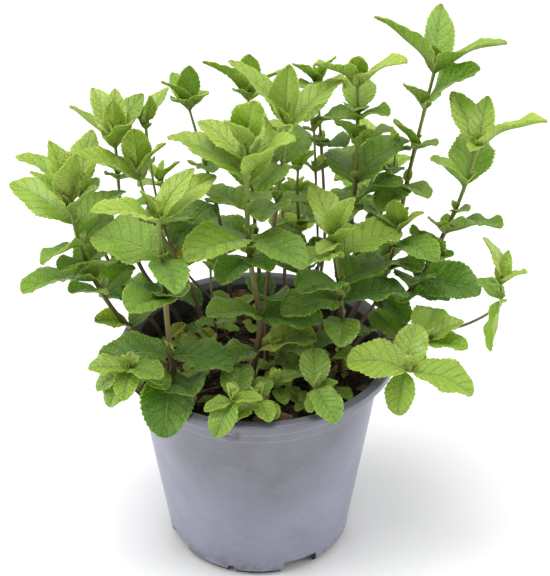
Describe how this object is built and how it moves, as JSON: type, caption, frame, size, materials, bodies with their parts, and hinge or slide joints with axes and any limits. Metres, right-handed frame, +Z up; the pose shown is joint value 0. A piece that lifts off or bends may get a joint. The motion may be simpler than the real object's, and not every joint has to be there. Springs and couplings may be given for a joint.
{
  "type": "potted mint plant",
  "caption": "Bushy mint with toothed leaves in pairs on square stems, growing from soil in a tapered plastic nursery pot.",
  "frame": {"origin": "middle of the pot's base, on the surface that it stands on", "axes": "+Z up, -Y towards the front of the plant"},
  "size_m": [0.2532, 0.1822, 0.2761],
  "materials": {
    "pot_plastic": "satin, lightly scuffed",
    "potting_soil": "crumbly, matt",
    "mint_green": "crinkled, veined, slightly glossy"
  },
  "bodies": {
    "root": {"pot": "pot_plastic", "soil": "potting_soil", "stem_left_tall": "mint_green", "stem_left_rear": "mint_green", "stem_left_inner": "mint_green", "stem_left_middle": "mint_green", "stem_left_thin": "mint_green", "stem_front_left": "mint_green", "stem_small_inner": "mint_green", "stem_centre_back_left": "mint_green", "stem_centre_back": "mint_green", "stem_centre_front": "mint_green", "stem_centre_right": "mint_green", "stem_dark_centre": "mint_green", "stem_centre_far": "mint_green", "stem_right_back": "mint_green", "stem_right_back_thin": "mint_green", "stem_right_front": "mint_green", "stem_right_star_high": "mint_green", "stem_right_star": "mint_green", "stem_right_tallest": "mint_green", "stem_right_tall": "mint_green", "stem_right_hanging": "mint_green", "stem_right_low": "mint_green", "stem_right_rim": "mint_green", "stem_front_small_left": "mint_green", "stem_front_small_centre": "mint_green", "stem_front_dark": "mint_green", "stem_front_right_small": "mint_green", "stem_front_centre_small": "mint_green", "stem_left_low": "mint_green", "stem_rear_left": "mint_green", "stem_rear_centre": "mint_green", "stem_rear_right": "mint_green"}
  },
  "joints": []
}
